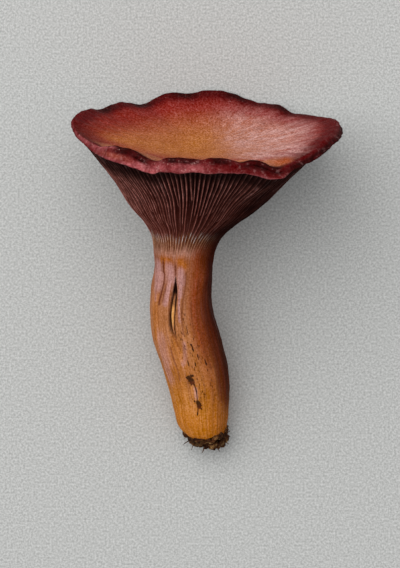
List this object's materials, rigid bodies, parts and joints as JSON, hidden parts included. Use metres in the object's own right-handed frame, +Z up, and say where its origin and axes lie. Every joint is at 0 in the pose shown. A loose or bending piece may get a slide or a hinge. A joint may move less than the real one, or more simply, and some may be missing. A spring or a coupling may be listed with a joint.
{
  "type": "pine spike mushroom",
  "caption": "Wild funnel-capped mushroom lying on its side, with radiating gills running down onto a bent fleshy stem and a clump of soil at its foot.",
  "frame": {"origin": "centre of the bounding box's underside, on the surface that the mushroom lies on", "axes": "+Y runs along the lying mushroom from its foot to its cap, +Z up, +X to the right seen from the foot"},
  "size_m": [0.0858, 0.1192, 0.0803],
  "materials": {
    "fungus_flesh": "moist matt flesh, wine red cap, dark gills, ochre stem",
    "damp_soil": "damp crumbly dark soil"
  },
  "bodies": {
    "root": {"fruit_body": "fungus_flesh", "soil_clump": "damp_soil"}
  },
  "joints": []
}
